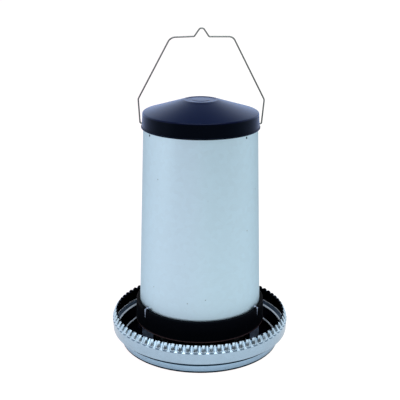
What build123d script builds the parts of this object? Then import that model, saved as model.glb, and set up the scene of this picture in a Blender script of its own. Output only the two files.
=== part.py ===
"""Galvanized hopper feeder for poultry: a tapered sheet-metal hopper that stands in a round feed pan
with a crimped rim, closed by a loose lid and carried by a wire bail. Millimetres, +Z up, origin at the
middle of the circle that the pan stands on. Azimuth 0 is the front (-Y), and 90 degrees is +X."""
from build123d import *
import math
import os

# Sheet, wire and running clearances
pan_sheet = 1.0
hopper_sheet = 0.8
strap_sheet = 1.5
wire_diameter = 3.0
running_gap = 0.3
seam_gap = 0.1
hole_play = 0.05

# Feed pan: a pressed dish on a standing ring
foot_radius = 156.8
foot_ring_width = 5.5
floor_rise = 4.0
foot_slope_run = 3.0
wall_top_radius = 165.8
wall_top_height = 24.8
step_run = 7.1
step_rise = 3.2
upstand_height = 4.5
press_radius = 2.2

# Rim ring: a hoop with a smooth band below and crimped flutes along its lip
band_rise = 21.2
band_flare = 1.3
lip_rise = 14.9
lip_turn_in = 7.2
flute_count = 74
flute_depth = 4.2
flute_radius = 4.4
flute_sink = 0.3
tuck_clearance = 2.0

# Hopper tube: rolled and lock-seamed, wider at the foot
tube_foot_height = 56.0
tube_foot_radius = 120.6
tube_top_height = 455.0
tube_top_radius = 107.9
edge_roll_diameter = 3.6
seam_width = 8.0
seam_fold_depth = 1.6
peep_hole_diameter = 4.0
peep_hole_azimuths = (-59.0, 50.0, 176.0)
peep_hole_drop = 25.0

# Legs: three curved straps from the tube's foot to the pan floor
leg_places = ("front_left", "front_right", "rear")
leg_azimuths = (-57.0, 63.0, 183.0)
leg_arc = 20.0
strap_headroom = 2.8
leg_foot_length = 22.0
leg_bend_radius = 4.0
rivet_diameter = 4.0
rivet_head_diameter = 7.6
rivet_head_height = 1.6
tube_rivet_spread = 13.0
foot_rivet_spread = 12.0
key_recess = 0.6

# Flow collar: a moulded ring round the tube's foot that sets the feed gap
collar_top_height = 88.0
collar_bottom_height = 47.5
collar_standoff = 5.8
collar_draft = 2.0
collar_wall = 2.2
collar_lip_reach = 3.6
collar_slot_width = 6.0
collar_slot_depth = 17.0
collar_tab_width = 7.0
collar_tab_rise = 3.0
collar_edge_radius = 0.9

# Spreader cone: pushes the feed out through the gap
cone_inset = 36.6
cone_height = 58.0
cone_wall = 2.0
cone_flange_width = 7.0
cone_screw_diameter = 5.0
cone_screw_head_diameter = 10.0
cone_screw_head_height = 2.6
cone_screw_length = 16.0
cone_boss_radius = 7.0
screw_end_play = 1.0

# Lid: one moulding with a conical top, a short skirt and a turned-out edge
lid_wall = 2.0
skirt_wall = 1.7
lid_lap = 20.2
lid_play = 0.64
skirt_draft = 1.3
lid_edge_reach = 1.5
lid_edge_thickness = 2.2
shoulder_rise = 8.2
shoulder_round = 2.4
crown_radius = 41.0
crown_rise = 21.0
crown_round = 4.0
disc_radius = 33.6
disc_rise = 2.9
disc_round = 1.2
dish_radius = 30.5
dish_depth = 1.4
button_radius = 18.0
button_height = 1.0
stop_rib_count = 8
stop_rib_thickness = 2.0
stop_rib_length = 9.0
bail_slot_width = 4.8

# Bail: one bent wire, hooked through the tube under the lid
pivot_drop = 14.0
arm_clearance = 0.5
arm_spread = 3.2
bend_rise = 46.0
run_rise = 161.8
corner_half_width = 57.0
hump_half_width = 13.2
hump_rise = 20.0
hump_offset = 0.9
top_shift = 1.0
left_corner_sag = 1.8
hook_reach = 11.5
hook_drop = 9.0
hook_bend = 2.5
arm_bend = 9.0
corner_bend = 10.0
hump_foot_bend = 3.0
hump_peak_bend = 6.0
pivot_hole_diameter = 3.7


def section_point(point):
    """A (radius, height) pair as a point of the XZ plane."""
    return (point[0], 0, point[1])


def offset_corners(points, distance):
    """The corners of a path moved sideways to its left by one distance, with mitred joints."""
    normals = []
    for start, end in zip(points[:-1], points[1:]):
        run, rise = end[0] - start[0], end[1] - start[1]
        length = math.hypot(run, rise)
        normals.append((-rise / length, run / length))
    moved = [(points[0][0] + distance * normals[0][0], points[0][1] + distance * normals[0][1])]
    for corner, before, after in zip(points[1:-1], normals[:-1], normals[1:]):
        mitre = distance / (1 + before[0] * after[0] + before[1] * after[1])
        moved.append((corner[0] + mitre * (before[0] + after[0]), corner[1] + mitre * (before[1] + after[1])))
    moved.append((points[-1][0] + distance * normals[-1][0], points[-1][1] + distance * normals[-1][1]))
    return moved


def turn_direction(before, corner, after):
    """+1 where a path turns left at a corner and -1 where it turns right."""
    cross = ((corner[0] - before[0]) * (after[1] - corner[1])
             - (corner[1] - before[1]) * (after[0] - corner[0]))
    return 1 if cross > 0 else -1


def bent_sheet(points, bend_radius, thickness):
    """Section of a bent sheet: the path is its right face, and bend_radius is the inside radius of bends."""
    left_points = offset_corners(points, thickness)
    right_radii = []
    left_radii = []
    for before, corner, after in zip(points[:-2], points[1:-1], points[2:]):
        turns_left = turn_direction(before, corner, after) > 0
        right_radii.append(bend_radius + thickness if turns_left else bend_radius)
        left_radii.append(bend_radius if turns_left else bend_radius + thickness)
    right_face = FilletPolyline(*[section_point(p) for p in points], radius=right_radii)
    left_face = FilletPolyline(*[section_point(p) for p in left_points], radius=left_radii)
    edges = [right_face, Line(right_face @ 1, left_face @ 1), left_face, Line(left_face @ 0, right_face @ 0)]
    return make_face(Wire([edge for part in edges for edge in part.edges()]))


def round_at(section, point, radius):
    """A section with the corner nearest to a point rounded."""
    corner = section.vertices().sort_by_distance(section_point(point))[0]
    return fillet(corner, radius).face()


def spin(face):
    """A full turn of a section round the feeder's axis."""
    return revolve(face, Axis.Z)


def at_azimuth(azimuth):
    """Turns a piece that was modelled towards +X to an azimuth, 0 at the front and 90 at +X."""
    return Rot(0, 0, azimuth - 90)


def tube_radius(height):
    """Outer radius of the tapered tube at a height."""
    share = (height - tube_foot_height) / (tube_top_height - tube_foot_height)
    return tube_foot_radius + share * (tube_top_radius - tube_foot_radius)


outside_pan = seam_gap + pan_sheet
step_lean = math.atan2(step_rise, step_run)
step_radius = wall_top_radius + step_run + outside_pan
step_height = wall_top_height + step_rise - outside_pan * math.tan(math.pi / 4 - step_lean / 2)
band_top_radius = step_radius + band_flare
band_top_height = step_height + band_rise
lip_radius = band_top_radius - lip_turn_in
lip_height = band_top_height + lip_rise
tube_lean = math.degrees(math.atan2(tube_foot_radius - tube_top_radius, tube_top_height - tube_foot_height))
floor_top = floor_rise + pan_sheet
collar_top_radius = tube_foot_radius + collar_standoff
collar_bottom_radius = collar_top_radius + collar_draft
cone_base_radius = tube_foot_radius - cone_inset
strap_top_height = collar_top_height - collar_wall - strap_headroom
strap_reach = seam_gap + strap_sheet / math.cos(math.radians(tube_lean))
strap_foot_radius = tube_radius(floor_top) + strap_reach
foot_rivet_radius = strap_foot_radius - strap_sheet - leg_bend_radius - leg_foot_length / 2
tube_rivet_height = (tube_foot_height + strap_top_height) / 2
lid_bottom_height = tube_top_height - lid_lap
skirt_radius = tube_radius(lid_bottom_height) + lid_play + skirt_wall
shoulder_radius = skirt_radius - skirt_draft
shoulder_height = tube_top_height + shoulder_rise
lid_edge_radius = skirt_radius + lid_edge_reach
crown_height = shoulder_height + crown_rise
disc_height = crown_height + disc_rise
pivot_height = tube_top_height - pivot_drop
pivot_half_width = lid_edge_radius + arm_clearance + wire_diameter / 2


def rivet_head():
    """A low domed rivet head that stands on the XY plane."""
    half_width = rivet_head_diameter / 2
    dome_radius = (half_width**2 + rivet_head_height**2) / (2 * rivet_head_height)
    dome = Pos(0, 0, rivet_head_height - dome_radius) * Sphere(dome_radius)
    return dome & Cylinder(half_width, rivet_head_height, align=(Align.CENTER, Align.CENTER, Align.MIN))


def rivet(grip):
    """A rivet down -Z through a stack of sheets, with a head on the XY plane and one below the stack."""
    shank = Cylinder(rivet_diameter / 2, grip, align=(Align.CENTER, Align.CENTER, Align.MAX))
    return rivet_head() + shank + Pos(0, 0, -grip) * mirror(rivet_head(), Plane.XY)


def tube_rivet_places():
    """Where the rivets go that join the legs to the tube: square to the wall, heads outwards."""
    wall = tube_radius(tube_rivet_height) + strap_reach
    for azimuth in leg_azimuths:
        for side in (-1, 1):
            turn = math.degrees(side * tube_rivet_spread / wall)
            yield at_azimuth(azimuth + turn) * Pos(wall, 0, tube_rivet_height) * Rot(0, 90 - tube_lean, 0)


def foot_rivet_places():
    """Where the rivets go that join the legs' feet to the pan floor."""
    for azimuth in leg_azimuths:
        for side in (-1, 1):
            yield at_azimuth(azimuth) * Pos(foot_rivet_radius, side * foot_rivet_spread, floor_top + strap_sheet)


def make_feed_pan():
    """Dish with a raised floor on a standing ring, a sloping wall and a stepped edge."""
    ring_inner = foot_radius - foot_ring_width
    path = [
        (0, floor_rise),
        (ring_inner - foot_slope_run, floor_rise),
        (ring_inner, 0),
        (foot_radius, 0),
        (wall_top_radius, wall_top_height),
        (wall_top_radius + step_run, wall_top_height + step_rise),
        (wall_top_radius + step_run, wall_top_height + step_rise + upstand_height),
    ]
    pan = spin(bent_sheet(path, press_radius, pan_sheet))
    holes = [Cylinder(cone_screw_diameter / 2 + hole_play, 4 * floor_top)]
    holes += [place * Cylinder(rivet_diameter / 2 + hole_play, 4 * floor_top) for place in foot_rivet_places()]
    return pan - holes


def make_rim_ring():
    """Hoop of sheet tucked under the pan's step, with hollow flutes crimped into its lip."""
    tuck_end = wall_top_radius + tuck_clearance
    tuck_start = (tuck_end, step_height - (step_radius - tuck_end) * math.tan(step_lean))
    flute_start = (band_top_radius - flute_sink, band_top_height)
    flute_length = math.dist(flute_start, (lip_radius, lip_height))
    flute_lean = math.atan2(flute_start[0] - lip_radius, lip_height - flute_start[1])
    crest = Plane(origin=(lip_radius, 0, lip_height),
                  x_dir=(math.cos(flute_lean), 0, math.sin(flute_lean)),
                  z_dir=(-math.sin(flute_lean), 0, math.cos(flute_lean)))
    valley = (lip_radius - flute_depth * math.cos(flute_lean), lip_height - flute_depth * math.sin(flute_lean))
    past_lip = (2 * valley[0] - band_top_radius, 2 * valley[1] - band_top_height)
    path = [tuck_start, (step_radius, step_height), (band_top_radius, band_top_height), past_lip]
    inner_path = offset_corners(path, pan_sheet)
    pitch = 360 / flute_count
    sheet = Polyline(*[section_point(p) for p in path + inner_path[::-1]], close=True)
    sector = Rot(0, 0, -pitch / 2) * revolve(make_face(sheet), Axis.Z, pitch)

    mid_band_top, mid_end = offset_corners(path, pan_sheet / 2)[-2:]
    inside = spin(make_face(Polyline(*[section_point(p) for p in (
        (0, band_top_height - 2 * flute_radius), (mid_band_top[0], band_top_height - 2 * flute_radius),
        mid_band_top, mid_end, (0, mid_end[1]))], close=True)))
    flute = crest * flute_prism(flute_radius, flute_length, 0)
    hollow = crest * flute_prism(flute_radius - pan_sheet, flute_length, flute_radius)
    beyond_lip = crest * Box(20 * flute_radius, 20 * flute_radius, 20 * flute_radius,
                             align=(Align.CENTER, Align.CENTER, Align.MIN))
    sector = sector + (flute - inside) - hollow - beyond_lip
    return closed_hoop(sector, pitch)


def flute_prism(apothem, length, past_end):
    """A six-sided rod under the crest line, one flat outwards, from the lip down to the band."""
    sides = 6
    flats = Rot(0, 0, 180 / sides) * RegularPolygon(apothem, sides, major_radius=False)
    return Pos(-flute_radius, 0, past_end) * extrude(flats, -length - past_end)


def closed_hoop(sector, pitch):
    """Joins turned copies of one sector into a hoop by sewing their skins edge to edge."""
    side_normal = Vector(0, 1, 0).rotate(Axis.Z, pitch / 2)
    skin = [face for face in sector.faces() if not is_cut_side(face, side_normal)]
    turns = round(360 / pitch)
    return Solid(Shell([Rot(0, 0, turn * pitch) * face for turn in range(turns) for face in skin]))


def is_cut_side(face, side_normal):
    """True for the two flat faces where a sector was cut from its hoop."""
    if face.geom_type != GeomType.PLANE:
        return False
    normal = face.normal_at()
    mirrored = Vector(side_normal.X, -side_normal.Y, 0)
    return max(abs(normal.dot(side_normal)), abs(normal.dot(mirrored))) > 0.99999


def make_hopper_tube():
    """Tapered sheet tube with a rolled top edge, a lock seam behind, and holes for the bail."""
    wall = make_face(Polyline(*[section_point(p) for p in (
        (tube_foot_radius, tube_foot_height), (tube_top_radius, tube_top_height),
        (tube_top_radius - hopper_sheet, tube_top_height), (tube_foot_radius - hopper_sheet, tube_foot_height))],
        close=True))
    roll = Plane.XZ * Pos(tube_top_radius - edge_roll_diameter / 2,
                          tube_top_height - edge_roll_diameter / 2) * Circle(edge_roll_diameter / 2)
    tube = spin(wall) + spin(roll)
    seam_bottom, seam_top = tube_foot_height, tube_top_height - edge_roll_diameter
    seam_outer = hopper_sheet / 2
    seam_inner = seam_outer + seam_fold_depth
    seam = make_face(Polyline(*[section_point(p) for p in (
        (tube_radius(seam_bottom) - seam_outer, seam_bottom), (tube_radius(seam_top) - seam_outer, seam_top),
        (tube_radius(seam_top) - seam_inner, seam_top), (tube_radius(seam_bottom) - seam_inner, seam_bottom))],
        close=True))
    tube += at_azimuth(leg_azimuths[-1]) * extrude(seam, seam_width / 2, both=True)
    pivot_bore = Rot(0, 90, 0) * Cylinder(pivot_hole_diameter / 2, 4 * tube_foot_radius)
    cuts = [Pos(0, 0, pivot_height) * pivot_bore]
    for azimuth in peep_hole_azimuths:
        cuts.append(at_azimuth(azimuth) * Pos(tube_top_radius, 0, tube_top_height - peep_hole_drop)
                    * Rot(0, 90, 0) * Cylinder(peep_hole_diameter / 2, 8 * hopper_sheet))
    cuts += [place * Cylinder(rivet_diameter / 2 + hole_play, 8 * strap_sheet) for place in tube_rivet_places()]
    return tube - cuts


def make_leg(azimuth):
    """Curved strap outside the tube's foot, with a foot turned in along the pan floor."""
    path = [
        (strap_foot_radius - strap_sheet - leg_bend_radius - leg_foot_length, floor_top),
        (strap_foot_radius, floor_top),
        (tube_radius(strap_top_height) + strap_reach, strap_top_height),
    ]
    section = bent_sheet(path, leg_bend_radius, strap_sheet)
    strap = Rot(0, 0, -leg_arc / 2) * revolve(section, Axis.Z, leg_arc)
    key_foot = collar_top_height - collar_slot_depth + running_gap
    key_top = collar_top_height + collar_tab_rise
    key_reach = collar_top_radius - key_recess
    on_strap = strap_sheet / 2
    key = make_face(Polyline(*[section_point(p) for p in (
        (tube_radius(key_foot) + on_strap, key_foot), (key_reach, key_foot), (key_reach, collar_top_height),
        (tube_radius(key_top) + seam_gap, key_top), (tube_radius(strap_top_height) + seam_gap, strap_top_height),
        (tube_radius(strap_top_height) + on_strap, strap_top_height))], close=True))
    strap += extrude(key, collar_slot_width / 2 - running_gap, both=True)
    strap = at_azimuth(azimuth) * strap
    cuts = [place * Cylinder(rivet_diameter / 2 + hole_play, 8 * strap_sheet) for place in tube_rivet_places()]
    cuts += [place * Cylinder(rivet_diameter / 2 + hole_play, 8 * strap_sheet) for place in foot_rivet_places()]
    return strap - cuts


def make_flow_collar():
    """Moulded ring round the tube's foot: top ledge on the tube, slotted outer wall, turned-in lip."""
    ledge_inner = tube_radius(collar_top_height - collar_wall) + running_gap
    outline = [
        (ledge_inner, collar_top_height),
        (ledge_inner, collar_top_height - collar_wall),
        (collar_top_radius - collar_wall, collar_top_height - collar_wall),
        (collar_bottom_radius - collar_wall, collar_bottom_height + collar_wall),
        (collar_bottom_radius - collar_lip_reach, collar_bottom_height + collar_wall),
        (collar_bottom_radius - collar_lip_reach, collar_bottom_height),
        (collar_bottom_radius, collar_bottom_height),
        (collar_top_radius, collar_top_height),
    ]
    section = make_face(Polyline(*[section_point(p) for p in outline], close=True))
    outer_corners = section.vertices().sort_by(Axis.X)[-2:]
    collar = spin(fillet(outer_corners, collar_edge_radius))
    slot_height = collar_slot_depth + collar_tab_rise
    for azimuth in leg_azimuths:
        tab = Pos(collar_top_radius - collar_wall, 0, collar_top_height - collar_wall) * Box(
            collar_wall, collar_slot_width + 2 * collar_tab_width, collar_wall + collar_tab_rise,
            align=(Align.CENTER, Align.CENTER, Align.MIN))
        slot = Pos(collar_top_radius, 0, collar_top_height - collar_slot_depth) * Box(
            6 * collar_wall + 2 * (collar_top_radius - ledge_inner), collar_slot_width, slot_height,
            align=(Align.CENTER, Align.CENTER, Align.MIN))
        collar = collar + at_azimuth(azimuth) * tab - at_azimuth(azimuth) * slot
    return collar


def make_spreader_cone():
    """Hollow moulded cone on the pan floor, with a flange and a screw boss under its nose."""
    slope = math.atan2(cone_height - cone_wall, cone_base_radius)
    shell = [
        (cone_base_radius + cone_flange_width, floor_top),
        (cone_base_radius + cone_flange_width, floor_top + cone_wall),
        (cone_base_radius, floor_top + cone_wall),
        (0, floor_top + cone_height),
        (0, floor_top + cone_height - cone_wall / math.cos(slope)),
        (cone_base_radius - cone_wall / math.sin(slope), floor_top),
    ]
    cone = spin(make_face(Polyline(*[section_point(p) for p in shell], close=True)))
    boss_height = cone_height - cone_boss_radius * math.tan(slope) - cone_wall / (2 * math.cos(slope))
    boss = Cylinder(cone_boss_radius, boss_height, align=(Align.CENTER, Align.CENTER, Align.MIN))
    bore = Cylinder(cone_screw_diameter / 2 + hole_play, cone_screw_length + screw_end_play,
                    align=(Align.CENTER, Align.CENTER, Align.MIN))
    return cone + Pos(0, 0, floor_top) * boss - Pos(0, 0, floor_top) * bore


def make_lid():
    """Conical cap with a crown disc, a skirt with a turned-out edge, stop ribs and bail slots."""
    shell = [
        (0, disc_height - dish_depth + button_height),
        (button_radius - button_height, disc_height - dish_depth + button_height),
        (button_radius, disc_height - dish_depth),
        (dish_radius - dish_depth, disc_height - dish_depth),
        (dish_radius, disc_height),
        (disc_radius, disc_height),
        (crown_radius, crown_height),
        (shoulder_radius, shoulder_height),
        (skirt_radius, lid_bottom_height + lid_edge_thickness),
        (lid_edge_radius, lid_bottom_height + lid_edge_thickness),
        (lid_edge_radius, lid_bottom_height),
        (skirt_radius - skirt_wall, lid_bottom_height),
        (shoulder_radius - skirt_wall, shoulder_height - lid_wall),
        (crown_radius, crown_height - lid_wall),
        (disc_radius, disc_height - dish_depth - lid_wall),
        (0, disc_height - dish_depth - lid_wall),
    ]
    section = make_face(Polyline(*[section_point(p) for p in shell], close=True))
    section = round_at(section, (shoulder_radius, shoulder_height), shoulder_round)
    section = round_at(section, (crown_radius, crown_height), crown_round)
    section = round_at(section, (disc_radius, disc_height), disc_round)
    section = round_at(section, (lid_edge_radius, lid_bottom_height + lid_edge_thickness), lid_edge_thickness / 3)
    section = round_at(section, (lid_edge_radius, lid_bottom_height), lid_edge_thickness / 3)
    lid = spin(section)
    stop_height = tube_top_height + running_gap
    rib_outer = shoulder_radius - skirt_wall / 2
    rib_top = shoulder_height - lid_wall / 2
    rib_inner = rib_outer - stop_rib_length
    cone_rise = (crown_height - shoulder_height) / (shoulder_radius - crown_radius) * stop_rib_length
    rib_section = make_face(Polyline(*[section_point(p) for p in (
        (rib_outer, stop_height), (rib_outer, rib_top), (rib_inner, rib_top + cone_rise),
        (rib_inner, stop_height))], close=True))
    rib = extrude(rib_section, stop_rib_thickness / 2, both=True)
    lid += [Rot(0, 0, (turn + 0.5) * 360 / stop_rib_count) * rib for turn in range(stop_rib_count)]
    slot_top = pivot_height + bail_slot_width / 2
    slot = Box(4 * skirt_radius, bail_slot_width, slot_top - lid_bottom_height + lid_edge_thickness,
               align=(Align.CENTER, Align.CENTER, Align.MAX))
    return lid - Pos(0, 0, slot_top) * slot


def make_bail():
    """Wire bail: flat run with a hump in the middle, leaning arms, and hooks through the tube."""
    stub_end = pivot_half_width - hook_reach
    bend_half_width = pivot_half_width + arm_spread
    run_height = pivot_height + run_rise
    arm = [
        (stub_end, pivot_height - hook_drop),
        (stub_end, pivot_height),
        (pivot_half_width, pivot_height),
        (bend_half_width, pivot_height + bend_rise),
    ]
    right = arm + [
        (top_shift + corner_half_width, run_height),
        (hump_offset + hump_half_width, run_height),
        (hump_offset, run_height + hump_rise),
    ]
    left = [
        (hump_offset - hump_half_width, run_height),
        (top_shift - corner_half_width, run_height - left_corner_sag),
    ] + [(-x, z) for x, z in arm[::-1]]
    radii = [hook_bend, hook_bend, arm_bend, corner_bend, hump_foot_bend]
    path = FilletPolyline(*[section_point(p) for p in right + left],
                          radius=radii + [hump_peak_bend] + radii[::-1])
    profile = Plane(origin=path @ 0, z_dir=path % 0) * Circle(wire_diameter / 2)
    return sweep(profile, path=path)


def make_cone_screw():
    """Pan-head screw from under the pan up into the cone's boss."""
    shank = Cylinder(cone_screw_diameter / 2, pan_sheet + cone_screw_length,
                     align=(Align.CENTER, Align.CENTER, Align.MIN))
    head = Cylinder(cone_screw_head_diameter / 2, cone_screw_head_height,
                    align=(Align.CENTER, Align.CENTER, Align.MAX))
    return Pos(0, 0, floor_rise) * (shank + head)


def write(shape, name):
    """Writes one piece as parts/NAME.step."""
    export_step(shape, f"parts/{name}.step")


os.makedirs("parts", exist_ok=True)
write(make_feed_pan(), "feed_pan")
write(make_rim_ring(), "rim_ring")
write(make_hopper_tube(), "hopper_tube")
for place_name, leg_azimuth in zip(leg_places, leg_azimuths):
    write(make_leg(leg_azimuth), f"leg_{place_name}")
tube_rivet_grip = hopper_sheet + strap_sheet + 2 * seam_gap
write(Compound([place * rivet(tube_rivet_grip) for place in tube_rivet_places()]), "tube_rivets")
write(Compound([place * rivet(pan_sheet + strap_sheet) for place in foot_rivet_places()]), "foot_rivets")
write(make_flow_collar(), "flow_collar")
write(make_spreader_cone(), "spreader_cone")
write(make_cone_screw(), "cone_screw")
write(make_lid(), "lid")
write(make_bail(), "bail")
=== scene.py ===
"""Look of the galvanized hopper feeder: a tapered tube in a crimped pan, a loose lid and a wire bail."""
import math
import bpy
import bmesh
from mathutils import Matrix, Vector


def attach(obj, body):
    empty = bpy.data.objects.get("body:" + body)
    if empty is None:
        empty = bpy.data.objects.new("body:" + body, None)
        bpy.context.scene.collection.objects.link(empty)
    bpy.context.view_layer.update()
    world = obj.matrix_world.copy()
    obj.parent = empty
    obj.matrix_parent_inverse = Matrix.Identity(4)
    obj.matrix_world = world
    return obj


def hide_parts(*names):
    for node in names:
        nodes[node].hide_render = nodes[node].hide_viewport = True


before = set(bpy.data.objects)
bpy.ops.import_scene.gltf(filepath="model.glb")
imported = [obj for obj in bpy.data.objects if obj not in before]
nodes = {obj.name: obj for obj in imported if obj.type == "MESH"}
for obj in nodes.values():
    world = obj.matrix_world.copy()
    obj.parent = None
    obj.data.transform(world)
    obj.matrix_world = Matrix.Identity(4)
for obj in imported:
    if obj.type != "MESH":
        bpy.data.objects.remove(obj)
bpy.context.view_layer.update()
MM = 0.001

# Feed pan
# A dish pressed from galvanized sheet: raised floor on a standing ring, sloping wall, stepped edge.
# Its hot-dip zinc skin has faint crystals, a clouded tone and fine rolling marks round the wall.
pan_sheet = 1.0
pan_radius = 172.9
pan_height = 32.5
pan_floor = 4.0
screw_hole = 2.55
wall_foot = 156.8
wall_top = (165.8, 24.8)
wall_lean = (wall_top[0] - wall_foot) / wall_top[1]
pan_path = ((screw_hole, pan_floor), (148.3, pan_floor), (151.3, 0.0), (wall_foot, 0.0), wall_top,
            (pan_radius, 28.0), (pan_radius, pan_height))
outside_rounds = (2.2, 3.2, 3.2, 2.2, 3.2)
inside_rounds = (3.2, 2.2, 3.0, 5.0, 1.6)
corner_steps = 5

# Where each finish lies on the pan's section. A patch is given by its inner lower and outer upper corner.
edge_highlight_height = 30.6
cut_edge_radius = 172.5
seam_shade_height = 18.4
foot_shade_radius = 153.0
foot_shade_height = 5.0
longest_bend_stretch = 1.2
step_bend = ((162.5, 20.0), (167.5, pan_height))
foot_bend = ((153.5, 0.9), (157.5, 4.6))
step_shade_patch = ((166.0, 24.0), (pan_radius, pan_height))
WALL, TROUGH, PAINTED_SHADE, BEND_HIGHLIGHT, STEP_SHADE, EDGE_HIGHLIGHT = range(6)


def add_socket(group, name, direction, kind, value=None):
    """One named socket on a shared finish."""
    socket = group.interface.new_socket(name=name, in_out=direction, socket_type=kind)
    if value is not None:
        socket.default_value = value


def add_node(tree, kind, **settings):
    """A shader node with its properties, and its socket values under "values"."""
    node = tree.nodes.new(kind)
    values = settings.pop("values", {})
    for name, value in settings.items():
        setattr(node, name, value)
    for name, value in values.items():
        node.inputs[name].default_value = value
    return node


def join(tree, *pairs):
    """Links sockets, each pair as (from, to)."""
    for start, end in pairs:
        tree.links.new(start, end)


def supply(tree, socket, source):
    """Gives a socket its source, which is another socket or a plain value."""
    if isinstance(source, bpy.types.NodeSocket):
        tree.links.new(source, socket)
    else:
        socket.default_value = source


def work_out(tree, operation, *terms):
    """Output of one step of arithmetic. Each term is a socket or a number."""
    node = add_node(tree, "ShaderNodeMath", operation=operation)
    for socket, term in zip(node.inputs, terms):
        supply(tree, socket, term)
    return node.outputs[0]


def ramp(tree, value, start, end, low=0.0, high=1.0, course="LINEAR"):
    """Output that goes from low to high while the value goes from start to end."""
    node = add_node(tree, "ShaderNodeMapRange", interpolation_type=course,
                    values={"From Min": start, "From Max": end, "To Min": low, "To Max": high})
    supply(tree, node.inputs["Value"], value)
    return node.outputs[0]


def make_zinc_skin():
    """Hot-dip zinc: crystals, clouding, rolling marks and dark specks, for every galvanized sheet here."""
    skin = bpy.data.node_groups.new("zinc_skin", "ShaderNodeTree")
    add_socket(skin, "Zinc Colour", "INPUT", "NodeSocketColor", (0.5, 0.62, 0.72, 1))
    for name, value in (("Crystal Size", 110.0), ("Crystal Contrast", 0.05), ("Clouding", 0.06),
                        ("Rolling Marks", 0.03), ("Specks", 0.0), ("Roughness", 0.38)):
        add_socket(skin, name, "INPUT", "NodeSocketFloat", value)
    add_socket(skin, "Colour", "OUTPUT", "NodeSocketColor")
    add_socket(skin, "Sheet Roughness", "OUTPUT", "NodeSocketFloat")
    add_socket(skin, "Normal", "OUTPUT", "NodeSocketVector")
    given = add_node(skin, "NodeGroupInput").outputs
    made = add_node(skin, "NodeGroupOutput").inputs
    place = add_node(skin, "ShaderNodeTexCoord").outputs["Object"]
    crystals = add_node(skin, "ShaderNodeTexVoronoi", feature="F1")
    crystal_tone = add_node(skin, "ShaderNodeSeparateColor")
    clouds = add_node(skin, "ShaderNodeTexNoise", values={"Scale": 14.0, "Detail": 3.0, "Roughness": 0.55})
    grain_place = add_node(skin, "ShaderNodeMapping", values={"Scale": (12, 12, 420)})
    grain = add_node(skin, "ShaderNodeTexNoise", values={"Scale": 1.0, "Detail": 2.0, "Roughness": 0.5})
    spots = add_node(skin, "ShaderNodeTexVoronoi", feature="F1", values={"Scale": 34.0})
    spot_tone = add_node(skin, "ShaderNodeSeparateColor")
    join(skin, (place, crystals.inputs["Vector"]), (given["Crystal Size"], crystals.inputs["Scale"]),
         (crystals.outputs["Color"], crystal_tone.inputs["Color"]), (place, clouds.inputs["Vector"]),
         (place, grain_place.inputs["Vector"]), (grain_place.outputs["Vector"], grain.inputs["Vector"]),
         (place, spots.inputs["Vector"]), (spots.outputs["Color"], spot_tone.inputs["Color"]))
    shares = []
    middle_tone = 0.5
    for pattern, amount in ((crystal_tone.outputs["Red"], "Crystal Contrast"),
                            (clouds.outputs["Fac"], "Clouding"), (grain.outputs["Fac"], "Rolling Marks")):
        centred = work_out(skin, "SUBTRACT", pattern, middle_tone)
        shares.append(work_out(skin, "MULTIPLY", centred, given[amount]))
    crystals_and_clouds = work_out(skin, "ADD", shares[0], shares[1])
    unevenness = work_out(skin, "ADD", crystals_and_clouds, shares[2])
    plain_tone = 1.0
    spotted_share = 0.55
    dulling = 0.8
    brightness = work_out(skin, "ADD", unevenness, plain_tone)
    spot_core = ramp(skin, spots.outputs["Distance"], start=0.055, end=0.03)
    spot_chosen = work_out(skin, "LESS_THAN", spot_tone.outputs["Green"], spotted_share)
    spot_here = work_out(skin, "MULTIPLY", spot_core, spot_chosen)
    spot_dark = work_out(skin, "MULTIPLY", spot_here, given["Specks"])
    speckled = work_out(skin, "SUBTRACT", brightness, spot_dark)
    dulled = work_out(skin, "MULTIPLY_ADD", unevenness, dulling, given["Roughness"])
    tint = add_node(skin, "ShaderNodeVectorMath", operation="SCALE")
    ripple = add_node(skin, "ShaderNodeBump", values={"Strength": 0.12, "Distance": 0.0004})
    join(skin, (given["Zinc Colour"], tint.inputs["Vector"]), (speckled, tint.inputs["Scale"]),
         (tint.outputs["Vector"], made["Colour"]), (dulled, made["Sheet Roughness"]),
         (unevenness, ripple.inputs["Height"]), (ripple.outputs["Normal"], made["Normal"]))
    return skin


zinc_skin = make_zinc_skin()


def galvanized(name, colour, roughness=0.38, crystals=0.05, clouding=0.06, marks=0.03, specks=0.0):
    """A galvanized sheet with its own tone of the shared zinc skin."""
    sheet = bpy.data.materials.new(name)
    sheet.use_nodes = True
    tree = sheet.node_tree
    metal = tree.nodes["Principled BSDF"]
    metal.inputs["Metallic"].default_value = 1.0
    skin = add_node(tree, "ShaderNodeGroup", node_tree=zinc_skin, values={
        "Zinc Colour": (*colour, 1), "Roughness": roughness, "Crystal Contrast": crystals,
        "Clouding": clouding, "Rolling Marks": marks, "Specks": specks})
    join(tree, (skin.outputs["Colour"], metal.inputs["Base Color"]),
         (skin.outputs["Sheet Roughness"], metal.inputs["Roughness"]),
         (skin.outputs["Normal"], metal.inputs["Normal"]))
    return sheet


def set_surface(material, values):
    """Sets values straight on a material's own surface."""
    surface = material.node_tree.nodes["Principled BSDF"]
    for name, value in values.items():
        surface.inputs[name].default_value = value


def round_corner(before, corner, after, radius, steps):
    """Points of the arc that rounds one corner of a section."""
    back = Vector(before) - Vector(corner)
    ahead = Vector(after) - Vector(corner)
    half = back.angle(ahead) / 2
    cut = radius / math.tan(half)
    start = Vector(corner) + back.normalized() * cut
    end = Vector(corner) + ahead.normalized() * cut
    inward = (back.normalized() + ahead.normalized()).normalized()
    centre = Vector(corner) + inward * (radius / math.sin(half))
    points = []
    for step in range(steps + 1):
        spoke = start.lerp(end, step / steps) - centre
        points.append(tuple(centre + spoke.normalized() * radius))
    return points


def rounded(path, radii, steps=corner_steps):
    """A line with each of its inner corners rounded."""
    points = [tuple(path[0])]
    for before, corner, after, radius in zip(path[:-2], path[1:-1], path[2:], radii):
        points += round_corner(before, corner, after, radius, steps)
    return points + [tuple(path[-1])]


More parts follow.
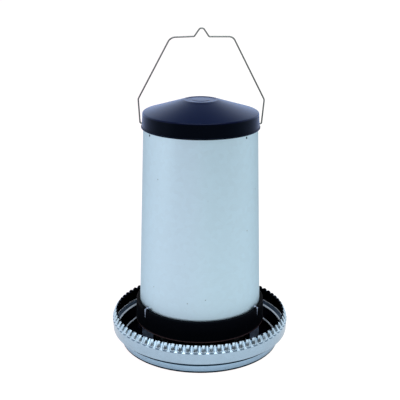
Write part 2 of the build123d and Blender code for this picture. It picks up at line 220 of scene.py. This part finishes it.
def sheet_face(path, inset, radii):
    """One face of a bent sheet: the path moved inwards, with every corner rounded."""
    normals = []
    for start, end in zip(path[:-1], path[1:]):
        run = (Vector(end) - Vector(start)).normalized()
        normals.append(Vector((-run.y, run.x)))
    moved = [Vector(path[0]) + normals[0] * inset]
    for corner, before, after in zip(path[1:-1], normals[:-1], normals[1:]):
        moved.append(Vector(corner) + (before + after) * (inset / (1 + before.dot(after))))
    moved.append(Vector(path[-1]) + normals[-1] * inset)
    return rounded(moved, radii)


def turned(radius, height, angle):
    """Place of a point on a section that has been turned round the axis from the front."""
    return (radius * MM * math.sin(angle), -radius * MM * math.cos(angle), height * MM)


def shaded_mesh(name, points, faces, finishes, sharp_angle=50):
    """A smooth mesh in which each face has the number of its finish."""
    mesh = bpy.data.meshes.new(name)
    mesh.from_pydata(points, [], faces)
    mesh.polygons.foreach_set("material_index", finishes)
    mesh.shade_smooth()
    mesh.set_sharp_from_angle(angle=math.radians(sharp_angle))
    return mesh


def lathe(name, outline, stretch_finishes, segments=288):
    """Spins a closed outline round the axis. Each stretch of it takes the finish with its number."""
    points = []
    rings = []
    for radius, height in outline:
        if radius == 0:
            rings.append([len(points)] * segments)
            points.append((0, 0, height * MM))
            continue
        rings.append(list(range(len(points), len(points) + segments)))
        for segment in range(segments):
            points.append(turned(radius, height, 2 * math.pi * segment / segments))
    faces = []
    finishes = []
    for row, ring in enumerate(rings):
        following = rings[(row + 1) % len(rings)]
        if ring[0] == ring[1] and following[0] == following[1]:
            continue
        for segment in range(segments):
            onward = (segment + 1) % segments
            corners = (ring[segment], ring[onward], following[onward], following[segment])
            faces.append(tuple(dict.fromkeys(corners)))
            finishes.append(stretch_finishes[row])
    return shaded_mesh(name, points, faces, finishes)


def place_piece(name, mesh, body, node_name):
    """Puts a finished mesh in the scene in place of its CAD piece."""
    piece = bpy.data.objects.new(name, mesh)
    bpy.context.scene.collection.objects.link(piece)
    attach(piece, body)
    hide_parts(node_name)


def within(patch, radius, height):
    """Whether a place on the section lies in a patch."""
    (inner, lower), (outer, upper) = patch
    return inner < radius < outer and lower < height < upper


def pan_finish(start, end, outer):
    """Number of the finish on a stretch of the pan's outer or inner face."""
    radius = (start[0] + end[0]) / 2
    height = (start[1] + end[1]) / 2
    if height > edge_highlight_height and (radius < cut_edge_radius or not outer):
        return EDGE_HIGHLIGHT
    if outer:
        at_foot = radius > foot_shade_radius and height < foot_shade_height
        return PAINTED_SHADE if at_foot or height > seam_shade_height else WALL
    on_bend = within(step_bend, radius, height) or within(foot_bend, radius, height)
    if on_bend and math.dist(start, end) < longest_bend_stretch:
        return BEND_HIGHLIGHT
    return STEP_SHADE if within(step_shade_patch, radius, height) else TROUGH


# The painted shade's two limits go into the outer outline below its last two bends and its end point.
points_above_wall = 2 * (corner_steps + 1) + 1
pan_outside = sheet_face(pan_path, 0.0, outside_rounds)
for shade_height in (foot_shade_height, seam_shade_height):
    pan_outside.insert(-points_above_wall, (wall_foot + shade_height * wall_lean, shade_height))
pan_inside = sheet_face(pan_path, pan_sheet, inside_rounds)
pan_inside.insert(-1, (pan_radius - pan_sheet, edge_highlight_height))
pan_inside.reverse()
pan_finishes = [pan_finish(a, b, True) for a, b in zip(pan_outside, pan_outside[1:] + pan_inside[:1])]
pan_finishes += [pan_finish(a, b, False) for a, b in zip(pan_inside, pan_inside[1:] + pan_outside[:1])]
pan_mesh = lathe("pressed_pan", pan_outside + pan_inside, pan_finishes)
pan_zinc = galvanized("pan_zinc", (0.41, 0.60, 0.78), roughness=0.32, marks=0.25)
# Near-black zinc inside the pan: painted shade, not the sheet's own tone.
trough_painted_shade = galvanized("trough_painted_shade", (0.02, 0.021, 0.03), roughness=0.28, clouding=0.3)
set_surface(trough_painted_shade, {"Specular Tint": (0.1, 0.1, 0.12, 1)})
# Dark zinc in a band at the wall's foot, in a band under the hoop's tuck and on the tuck itself: painted
# shade.
seam_painted_shade = galvanized("seam_painted_shade", (0.012, 0.035, 0.06), roughness=0.6, clouding=0.3)
set_surface(seam_painted_shade, {"Specular Tint": (0.1, 0.12, 0.15, 1)})
# Pale zinc on the bends of the step and the foot inside the pan: painted highlights.
bend_painted_highlight = galvanized("bend_painted_highlight", (0.72, 0.84, 0.97), roughness=0.4)
# Darker zinc on the inner face of the step: painted shade.
step_painted_shade = galvanized("step_painted_shade", (0.09, 0.145, 0.23), roughness=0.4, clouding=0.4)
# Pale matt zinc on the cut top edge and the top of the inner face: painted highlight.
edge_painted_highlight = galvanized("edge_painted_highlight", (0.74, 0.82, 0.93), roughness=0.7)
set_surface(edge_painted_highlight, {"Metallic": 0.0})
for finish in (pan_zinc, trough_painted_shade, seam_painted_shade, bend_painted_highlight, step_painted_shade, edge_painted_highlight):
    pan_mesh.materials.append(finish)
place_piece("pressed_pan", pan_mesh, "feeder", "feed_pan")

# Rim ring
# A hoop of galvanized sheet tucked under the pan's step. Its lip is gathered into 74 round-ended crimps,
# so the thin sheet has no sharp edge and stands stiff.
rim_sheet = 1.0
tuck_bend = (174.0, 27.3)
tuck_shade_reach = 1.0
band_path = ((167.8, 24.5), tuck_bend, (175.3, 48.5), (172.7, 51.1), (165.4, 61.2))
band_rounds = (2.5, 1.4, 1.5)
band_rows = 2 * (corner_steps + 1) + 1
crest_control = (174.0, 57.0)
crest_lip = (168.4, 63.4)
crimp_count = 74
crimp_pitch = 2 * math.pi * crest_lip[0] / crimp_count
crimp_half_width = 5.3
crimp_end_share = 0.42
crimp_side_power = 2.2
crimp_top_power = 0.6
crimp_columns = 18
crimp_rows = 18

# Where each finish lies on the hoop. Rows count up the outer face from the tuck, and a swell goes from
# 0 in a gap to 1 on a crest.
lip_row = band_rows + crimp_rows - 1
flank_row_count = 3
flank_rows = range(lip_row - flank_row_count, lip_row)
flank_swells = (0.02, 0.8)
shade_rows = range(9, 15)
shade_offset = 3
shade_swell = 0.1
first_crimp_row = 10
BAND, INSIDE, TUCK, SHADE, CRIMP = range(5)


def crest_point(share, inset):
    """Point on the crest of a crimp, from the band up to the lip."""
    start = Vector(band_path[2])
    control = Vector(crest_control)
    lip = Vector(crest_lip)
    point = start * (1 - share)**2 + control * (2 * share * (1 - share)) + lip * share**2
    run = (control - start) * (1 - share) + (lip - control) * share
    run.normalize()
    return point + Vector((-run.y, run.x)) * inset


def along(line, share):
    """Point at a share of a line's length."""
    lengths = [math.dist(a, b) for a, b in zip(line[:-1], line[1:])]
    left = share * sum(lengths)
    for start, end, length in zip(line[:-1], line[1:], lengths):
        if left <= length:
            return Vector(start).lerp(Vector(end), left / length)
        left -= length
    return Vector(line[-1])


def crimp_swell(across, share, half_width):
    """How far a place stands from the gap (0) out to the crest (1), by its share of the crimp's length."""
    if share == 0:
        return 0.0
    width = half_width
    if share < crimp_end_share:
        width *= math.sqrt(1 - (1 - share / crimp_end_share)**2)
    side = abs(across) / width
    return (1 - side**crimp_side_power)**crimp_top_power if side < 1 else 0.0


def rim_rows(inset):
    """Rows up one face of the sheet: point in a gap, point on a crest, share and half width of the crimp."""
    rounds = [radius - inset for radius in band_rounds[:2]] + [band_rounds[2] + inset]
    smooth = sheet_face(band_path, inset, rounds)
    rows = [(Vector(point), Vector(point), 0.0, 0.0) for point in smooth[:band_rows]]
    gap = smooth[band_rows - 1:]
    for row in range(1, crimp_rows + 1):
        share = row / crimp_rows
        rows.append((along(gap, share), crest_point(share, inset), share, crimp_half_width - inset))
    return rows


def rim_finish(row, rows, swells, next_swells):
    """Number of the finish on the face above a row, between two columns with their swells."""
    flank_low, flank_high = flank_swells
    on_flank = swells[row] < flank_high and max(swells[row], next_swells[row]) > flank_low
    if row >= lip_row or (row in flank_rows and on_flank):
        return INSIDE
    # The tuck takes the seam's dark painted shade.
    outermost = max(rows[row][0].x, rows[row + 1][0].x)
    if outermost < tuck_bend[0] - tuck_shade_reach and rows[row][0].y < tuck_bend[1]:
        return TUCK
    if row in shade_rows and swells[row + shade_offset] > shade_swell:
        return SHADE
    return CRIMP if row >= first_crimp_row else BAND


def make_rim():
    """Mesh of the whole hoop: outer face, lip's edge and inner face."""
    rows = rim_rows(0.0) + rim_rows(rim_sheet)[::-1]
    columns = crimp_count * crimp_columns
    points = []
    swells = []
    for column in range(columns):
        across = ((column % crimp_columns) / crimp_columns - 0.5) * crimp_pitch
        swells.append([crimp_swell(across, share, width) for _, _, share, width in rows])
        for (gap, crest, _, _), swell in zip(rows, swells[-1]):
            point = gap.lerp(crest, swell)
            points.append(turned(point.x, point.y, 2 * math.pi * column / columns))
    count = len(rows)
    faces = []
    finishes = []
    for column in range(columns):
        onward = (column + 1) % columns
        here = column * count
        there = onward * count
        for row in range(count):
            up = (row + 1) % count
            faces.append((here + row, there + row, there + up, here + up))
            finishes.append(rim_finish(row, rows, swells[column], swells[onward]))
    return shaded_mesh("crimped_rim", points, faces, finishes, sharp_angle=48)


rim_mesh = make_rim()
rim_zinc = galvanized("rim_zinc", (0.35, 0.475, 0.59), roughness=0.22, clouding=0.1)
# The crimps take a lighter copy of the hoop's zinc, painted light, with stronger crystals than the band.
crimp_lit_zinc = galvanized("crimp_lit_zinc", (0.46, 0.62, 0.76), roughness=0.22, crystals=0.2)
shaded_zinc = galvanized("shaded_zinc", (0.14, 0.22, 0.31), roughness=0.4)
# The hoop's inner face and the flanks by its lip take the trough's near-black painted shade.
for finish in (rim_zinc, trough_painted_shade, seam_painted_shade, shaded_zinc, crimp_lit_zinc):
    rim_mesh.materials.append(finish)
place_piece("crimped_rim", rim_mesh, "feeder", "rim_ring")

# Legs and their rivets
# Three straps, rolled to the tube and turned in along the pan floor, each held by four zinc-plated rivets.


def dress(node_name, material):
    """Gives a CAD piece its finish."""
    data = nodes[node_name].data
    data.materials.clear()
    data.materials.append(material)


strap_zinc = galvanized("strap_zinc", (0.50, 0.62, 0.82), roughness=0.42)
rivet_zinc = galvanized("rivet_zinc", (0.48, 0.56, 0.62), roughness=0.32, crystals=0.0)
for strap in ("leg_front_left", "leg_front_right", "leg_rear"):
    dress(strap, strap_zinc)
dress("tube_rivets", rivet_zinc)
dress("foot_rivets", rivet_zinc)

# Hopper tube
# Rolled from one galvanized sheet and lock-seamed behind, with a rolled top edge under the lid.
tube_zinc = galvanized("tube_zinc", (0.49, 0.665, 0.775), roughness=0.42, crystals=0.045, clouding=0.05,
                       specks=0.45)
set_surface(tube_zinc, {"Specular Tint": (0.6, 0.64, 0.66, 1)})
dress("hopper_tube", tube_zinc)

# Flow collar
# Black moulded ring round the tube's foot, set over the legs' keys by a slot for each leg.
# Its thin lower edge is painted a little paler: a painted highlight.
collar_highlight_start = 50.2
collar_highlight_full = 49.4


def blend(tree, share, first, second):
    """Output of a mix of two colours. The node has an A and a B for each kind, so they go by number."""
    node = add_node(tree, "ShaderNodeMix", data_type="RGBA")
    for number, source in ((0, share), (6, first), (7, second)):
        supply(tree, node.inputs[number], source)
    return node.outputs[2]


def coordinates(tree, kind="Object"):
    """Outputs X, Y and Z of a place on the surface, or of a direction in the room."""
    place = add_node(tree, "ShaderNodeTexCoord")
    parts = add_node(tree, "ShaderNodeSeparateXYZ")
    join(tree, (place.outputs[kind], parts.inputs[0]))
    return parts.outputs


def make_moulded_skin():
    """Moulded plastic: fine pitting from the tool, and a thin uneven veil of dust."""
    skin = bpy.data.node_groups.new("moulded_skin", "ShaderNodeTree")
    add_socket(skin, "Plastic Colour", "INPUT", "NodeSocketColor", (0.01, 0.012, 0.02, 1))
    add_socket(skin, "Dust Colour", "INPUT", "NodeSocketColor", (0.05, 0.055, 0.07, 1))
    add_socket(skin, "Dust", "INPUT", "NodeSocketFloat", 0.2)
    add_socket(skin, "Roughness", "INPUT", "NodeSocketFloat", 0.3)
    add_socket(skin, "Colour", "OUTPUT", "NodeSocketColor")
    add_socket(skin, "Skin Roughness", "OUTPUT", "NodeSocketFloat")
    add_socket(skin, "Normal", "OUTPUT", "NodeSocketVector")
    given = add_node(skin, "NodeGroupInput").outputs
    made = add_node(skin, "NodeGroupOutput").inputs
    place = add_node(skin, "ShaderNodeTexCoord").outputs["Object"]
    veil = add_node(skin, "ShaderNodeTexNoise", values={"Scale": 22.0, "Detail": 5.0, "Roughness": 0.6})
    pits = add_node(skin, "ShaderNodeTexNoise", values={"Scale": 900.0, "Detail": 1.0, "Roughness": 0.4})
    pitting = add_node(skin, "ShaderNodeBump", values={"Strength": 0.05, "Distance": 0.0002})
    dust_share = work_out(skin, "MULTIPLY", veil.outputs["Fac"], given["Dust"])
    dusted = blend(skin, dust_share, given["Plastic Colour"], given["Dust Colour"])
    dulling = 0.3
    dulled = work_out(skin, "MULTIPLY_ADD", dust_share, dulling, given["Roughness"])
    join(skin, (place, veil.inputs["Vector"]), (place, pits.inputs["Vector"]),
         (pits.outputs["Fac"], pitting.inputs["Height"]), (dusted, made["Colour"]),
         (dulled, made["Skin Roughness"]), (pitting.outputs["Normal"], made["Normal"]))
    return skin


moulded_skin = make_moulded_skin()


def moulded(name, colour, roughness, dust, ior):
    """A black moulding with its own tone and gloss of the shared moulded skin."""
    plastic = bpy.data.materials.new(name)
    plastic.use_nodes = True
    tree = plastic.node_tree
    set_surface(plastic, {"IOR": ior, "Specular Tint": (0.72, 0.84, 1.0, 1)})
    surface = tree.nodes["Principled BSDF"]
    skin = add_node(tree, "ShaderNodeGroup", node_tree=moulded_skin, values={
        "Plastic Colour": (*colour, 1), "Roughness": roughness, "Dust": dust})
    join(tree, (skin.outputs["Colour"], surface.inputs["Base Color"]),
         (skin.outputs["Skin Roughness"], surface.inputs["Roughness"]),
         (skin.outputs["Normal"], surface.inputs["Normal"]))
    return plastic


collar_black = moulded("collar_black", (0.001, 0.0015, 0.003), roughness=0.45, dust=0.02, ior=1.06)
collar_tree = collar_black.node_tree
# Paler towards the lower edge: painted highlight.
collar_highlight_share = ramp(collar_tree, coordinates(collar_tree)["Z"], start=collar_highlight_start * MM,
                  end=collar_highlight_full * MM)
collar_colour = blend(collar_tree, collar_highlight_share, collar_tree.nodes["Group"].outputs["Colour"],
                      (0.06, 0.04, 0.044, 1))
join(collar_tree, (collar_colour, collar_tree.nodes["Principled BSDF"].inputs["Base Color"]))
dress("flow_collar", collar_black)

# Spreader cone and its screw
# Black moulded cone on the pan floor that pushes the feed outwards. It is held from below by one
# zinc-plated screw.
cone_black = moulded("cone_black", (0.003, 0.004, 0.007), roughness=0.4, dust=0.1, ior=1.3)
dress("spreader_cone", cone_black)
dress("cone_screw", rivet_zinc)

# Lid
# One glossy black moulding: conical top with a dished crown disc, short skirt and a turned-out edge.
# Ribs inside rest on the tube's top, and two slots in the skirt let the bail through.
lid_top_path = ((0, 486.9), (16.0, 486.9), (18.4, 486.2), (26.6, 486.2), (29.2, 487.1), (32.8, 487.1),
                (41.5, 484.2), (109.6, 463.2), (110.9, 437.0), (112.4, 437.0))
lid_top_rounds = (6.0, 6.0, 4.0, 4.0, 3.5, 12.0, 2.6, 0.9)
lid_under_path = ((0, 483.7), (33.6, 483.7), (41.0, 482.2), (107.9, 461.2), (109.2, 434.8))
lid_under_rounds = (8.0, 8.0, 1.5)
lid_edge = [(112.1, 434.8), (112.4, 435.1), (112.4, 436.7)]
skirt_inner_radius = 109.0
skirt_top = 461.5
CONE, SKIRT = range(2)
rib_count = 8
rib_depth = 9.0
rib_outer_radius = 108.75
rib_inner_radius = rib_outer_radius - rib_depth
rib_thickness = 2.0
rib_foot = 455.3
rib_inner_top = 465.0
rib_outer_top = 462.2
slot_width = 4.8
slot_inner_radius = 100.0
slot_outer_radius = 120.0
slot_foot = 430.0
slot_top = 443.4


def add_block(mesh, corners):
    """Adds a six-sided block to a mesh from its eight corners, the lower four first."""
    made = [mesh.verts.new(corner) for corner in corners]
    for face in ((3, 2, 1, 0), (4, 5, 6, 7), (0, 1, 5, 4), (1, 2, 6, 5), (2, 3, 7, 6), (3, 0, 4, 7)):
        mesh.faces.new([made[index] for index in face])


def add_ribs(mesh):
    """Ribs under the cone that rest on the tube's top edge."""
    body = bmesh.new()
    body.from_mesh(mesh)
    for turn in range(rib_count):
        angle = math.radians((turn + 0.5) * 360 / rib_count)
        outward = Vector((math.cos(angle), math.sin(angle), 0))
        aside = Vector((-math.sin(angle), math.cos(angle), 0)) * rib_thickness / 2
        corners = []
        for inner_height, outer_height in ((rib_foot, rib_foot), (rib_inner_top, rib_outer_top)):
            inner = (rib_inner_radius, inner_height)
            outer = (rib_outer_radius, outer_height)
            for (radius, height), side in ((inner, -1), (outer, -1), (outer, 1), (inner, 1)):
                corners.append((outward * radius + aside * side + Vector((0, 0, height))) * MM)
        add_block(body, corners)
    body.to_mesh(mesh)
    body.free()


def cut_slots(mesh):
    """Cuts the two slots for the bail through the skirt and its edge."""
    cutter = bmesh.new()
    half = slot_width / 2 * MM
    for side in (-1, 1):
        near, far = sorted((side * slot_inner_radius * MM, side * slot_outer_radius * MM))
        corners = []
        for height in (slot_foot * MM, slot_top * MM):
            corners += [(near, -half, height), (far, -half, height)]
            corners += [(far, half, height), (near, half, height)]
        add_block(cutter, corners)
    tool_mesh = bpy.data.meshes.new("slot_tool")
    cutter.to_mesh(tool_mesh)
    cutter.free()
    tool = bpy.data.objects.new("slot_tool", tool_mesh)
    blank = bpy.data.objects.new("lid_blank", mesh)
    for item in (tool, blank):
        bpy.context.scene.collection.objects.link(item)
    cut = blank.modifiers.new("slots", "BOOLEAN")
    cut.operation = "DIFFERENCE"
    cut.solver = "EXACT"
    cut.object = tool
    shaped = bpy.data.meshes.new_from_object(blank.evaluated_get(bpy.context.evaluated_depsgraph_get()))
    bpy.data.objects.remove(blank)
    bpy.data.objects.remove(tool)
    return shaped


lid_under = rounded(lid_under_path, lid_under_rounds)
lid_top = rounded(lid_top_path, lid_top_rounds)
lid_outline = lid_under + lid_edge + lid_top[::-1]
lid_finishes = []
for start, end in zip(lid_outline, lid_outline[1:] + lid_outline[:1]):
    on_skirt = min(start[0], end[0]) > skirt_inner_radius and max(start[1], end[1]) < skirt_top
    lid_finishes.append(SKIRT if on_skirt else CONE)
lid_blank = lathe("moulded_lid", lid_outline, lid_finishes)
lid_black = moulded("lid_black", (0.0002, 0.0003, 0.012), roughness=0.21, dust=0.01, ior=1.225)
set_surface(lid_black, {"Sheen Weight": 0.9, "Sheen Tint": (0.12, 0.35, 0.94, 1)})
# The skirt takes a duller, less glossy copy of the lid's plastic, which stands in for shade: painted shade.
skirt_shaded_black = moulded("skirt_shaded_black", (0.0004, 0.0008, 0.002), roughness=0.25, dust=0.02, ior=1.10)
set_surface(skirt_shaded_black, {"Sheen Weight": 0.55, "Sheen Tint": (0.18, 0.36, 0.88, 1)})
for finish in (lid_black, skirt_shaded_black):
    set_surface(finish, {"Specular Tint": (0.45, 0.64, 1.0, 1), "Sheen Roughness": 0.34})
    lid_blank.materials.append(finish)
lid_mesh = cut_slots(lid_blank)
add_ribs(lid_mesh)
lid_mesh.name = "moulded_lid"
place_piece("moulded_lid", lid_mesh, "lid", "lid")

# Bail
# Bent by hand from one zinc-plated wire, with a hump in the middle of the run and a hook at each end.
wire_radius = 1.5
wire_end_radius = 0.75 * wire_radius
wire_end_length = 0.3
bail_route = ((102.9, 432.0), (102.9, 441.0), (114.4, 441.0), (118.4, 487.0), (58.3, 602.8),
              (14.4, 602.6), (0.9, 622.59), (-12.6, 602.8), (-56.2, 601.0), (-117.1, 487.0),
              (-114.4, 441.0), (-102.9, 441.0), (-102.9, 432.0))
bail_rounds = (2.5, 2.5, 9.0, 12.0, 3.0, 6.0, 3.0, 16.0, 9.0, 2.5, 2.5)
bail_bend_steps = 8


def make_wire(name, line, sides=20):
    """Round wire along a line in the plane across the feeder, with slightly rounded cut ends."""
    rings = []
    for index, point in enumerate(line):
        back = line[max(index - 1, 0)]
        ahead = line[min(index + 1, len(line) - 1)]
        rings.append((point, (ahead - back).normalized(), wire_radius))
    first_point, first_run, _ = rings[0]
    last_point, last_run, _ = rings[-1]
    rings.insert(0, (first_point - first_run * wire_end_length, first_run, wire_end_radius))
    rings.append((last_point + last_run * wire_end_length, last_run, wire_end_radius))
    points = []
    for point, run, radius in rings:
        across = Vector((run.y, -run.x))
        for side in range(sides):
            turn = 2 * math.pi * side / sides
            out = across * (radius * math.cos(turn))
            points.append(((point.x + out.x) * MM, radius * math.sin(turn) * MM, (point.y + out.y) * MM))
    faces = [tuple(range(sides))]
    for ring in range(len(rings) - 1):
        for side in range(sides):
            onward = (side + 1) % sides
            faces.append((ring * sides + side, (ring + 1) * sides + side,
                          (ring + 1) * sides + onward, ring * sides + onward))
    faces.append(tuple(reversed(range((len(rings) - 1) * sides, len(rings) * sides))))
    return shaded_mesh(name, points, faces, [0] * len(faces))


bail_line = [Vector(point) for point in rounded(bail_route, bail_rounds, bail_bend_steps)]
bail_mesh = make_wire("bent_bail", bail_line)
wire_zinc = galvanized("wire_zinc", (0.20, 0.225, 0.225), roughness=0.45, crystals=0.0, clouding=0.2)
bail_mesh.materials.append(wire_zinc)
place_piece("bent_bail", bail_mesh, "bail", "bail")

# Studio
# A plain white floor in a pale room, two soft panels, and the camera of the photograph.
floor_half_width = 30
floor_glow_for_camera = 0.8
camera_place = (-0.0006, -1.5373, 0.7751)
camera_below_level = 17.53
camera_roll = 0.296


def mix_shaders(tree, share, first, second):
    """Output of a mix of two shaders, by the second one's share."""
    node = add_node(tree, "ShaderNodeMixShader")
    for socket, source in zip(node.inputs, (share, first, second)):
        supply(tree, socket, source)
    return node.outputs[0]


floor_corners = [(-floor_half_width, -floor_half_width, 0), (floor_half_width, -floor_half_width, 0),
                 (floor_half_width, floor_half_width, 0), (-floor_half_width, floor_half_width, 0)]
floor_mesh = bpy.data.meshes.new("studio_floor")
floor_mesh.from_pydata(floor_corners, [], [(0, 1, 2, 3)])
studio_floor = bpy.data.objects.new("studio_floor", floor_mesh)
bpy.context.scene.collection.objects.link(studio_floor)

# The floor glows for the camera and in glossy reflections. In reflections the glow grows with distance
# from the feeder and falls off to the right. Its tone is a little pinker to the left.
floor_white = bpy.data.materials.new("floor_white")
floor_white.use_nodes = True
floor_tree = floor_white.node_tree
floor_tree.nodes.clear()
floor_rays = add_node(floor_tree, "ShaderNodeLightPath").outputs
floor_place = add_node(floor_tree, "ShaderNodeTexCoord")
floor_reach = add_node(floor_tree, "ShaderNodeVectorMath", operation="LENGTH")
join(floor_tree, (floor_place.outputs["Object"], floor_reach.inputs[0]))
floor_across = coordinates(floor_tree)["X"]
floor_far = ramp(floor_tree, floor_reach.outputs["Value"], start=0.16, end=0.36, low=0.25, high=0.75,
                 course="SMOOTHSTEP")
floor_right = ramp(floor_tree, floor_across, start=0.03, end=0.36, low=1.0, high=0.72, course="SMOOTHSTEP")
floor_lit = work_out(floor_tree, "MULTIPLY", floor_far, floor_right)
floor_for_metal = work_out(floor_tree, "MULTIPLY", floor_rays["Is Glossy Ray"], floor_lit)
floor_for_camera = work_out(floor_tree, "MULTIPLY", floor_rays["Is Camera Ray"], floor_glow_for_camera)
floor_share = work_out(floor_tree, "ADD", floor_for_camera, floor_for_metal)
floor_side = ramp(floor_tree, floor_across, start=-0.35, end=0.25, course="SMOOTHSTEP")
floor_tone = blend(floor_tree, floor_side, (1.02, 0.95, 0.98, 1), (1.02, 1.01, 1.0, 1))
floor_paint = add_node(floor_tree, "ShaderNodeBsdfDiffuse", values={"Color": (0.8, 0.8, 0.8, 1)})
floor_glow = add_node(floor_tree, "ShaderNodeEmission", values={"Strength": 1.2})
floor_output = add_node(floor_tree, "ShaderNodeOutputMaterial")
floor_mix = mix_shaders(floor_tree, floor_share, floor_paint.outputs[0], floor_glow.outputs[0])
join(floor_tree, (floor_tone, floor_glow.inputs["Color"]), (floor_mix, floor_output.inputs["Surface"]))
floor_mesh.materials.append(floor_white)

# The camera sees a white room. The room lights the feeder fully from behind and from the sides, and weakly
# from the front and from overhead, but for a bright part high up in front.
world = bpy.data.worlds.new("studio_air")
bpy.context.scene.world = world
world.use_nodes = True
air = world.node_tree
direction = coordinates(air, "Generated")
front = ramp(air, direction["Y"], start=0.1, end=-0.3, course="SMOOTHSTEP")
above_floor = ramp(air, direction["Z"], start=-0.08, end=0.05, course="SMOOTHSTEP")
overhead = ramp(air, direction["Z"], start=0.45, end=0.8, course="SMOOTHSTEP")
dim_front = work_out(air, "MULTIPLY", above_floor, front)
dim = work_out(air, "MAXIMUM", dim_front, overhead)
walls = ramp(air, dim, start=0.0, end=1.0, low=1.0, high=0.15)
high_up = ramp(air, direction["Z"], start=0.42, end=0.56, high=1.2, course="SMOOTHSTEP")
window = work_out(air, "MULTIPLY", high_up, front)
room = add_node(air, "ShaderNodeBackground", values={"Color": (1, 1, 1, 1)})
join(air, (work_out(air, "ADD", walls, window), room.inputs["Strength"]))
white_wall = air.nodes["Background"]
white_wall.inputs["Color"].default_value = (1, 1, 1, 1)
seen = add_node(air, "ShaderNodeLightPath").outputs["Is Camera Ray"]
join(air, (mix_shaders(air, seen, room.outputs[0], white_wall.outputs[0]),
           air.nodes["World Output"].inputs["Surface"]))


def add_panel(name, place, target, width, height, power):
    """A soft light panel that faces a point."""
    light = bpy.data.lights.new(name, "AREA")
    light.shape = "RECTANGLE"
    light.size = width
    light.size_y = height
    light.energy = power
    panel = bpy.data.objects.new(name, light)
    bpy.context.scene.collection.objects.link(panel)
    panel.location = place
    panel.rotation_euler = (Vector(target) - Vector(place)).to_track_quat("-Z", "Y").to_euler()


add_panel("overhead_panel", (0, -0.45, 2.3), (0, -0.1, 0.3), width=1.8, height=1.5, power=30)
add_panel("left_panel", (-2.2, -0.9, 0.9), (0, 0, 0.2), width=0.8, height=1.2, power=4)

camera_data = bpy.data.cameras.new("photo_camera")
camera_data.sensor_fit = "HORIZONTAL"
camera_data.sensor_width = 36.0
camera_data.lens = 74.8
camera = bpy.data.objects.new("photo_camera", camera_data)
bpy.context.scene.collection.objects.link(camera)
camera.matrix_world = (Matrix.Translation(camera_place)
                       @ Matrix.Rotation(math.radians(90 - camera_below_level), 4, "X")
                       @ Matrix.Rotation(math.radians(camera_roll), 4, "Z"))
bpy.context.scene.camera = camera
bpy.context.scene.view_settings.view_transform = "Standard"
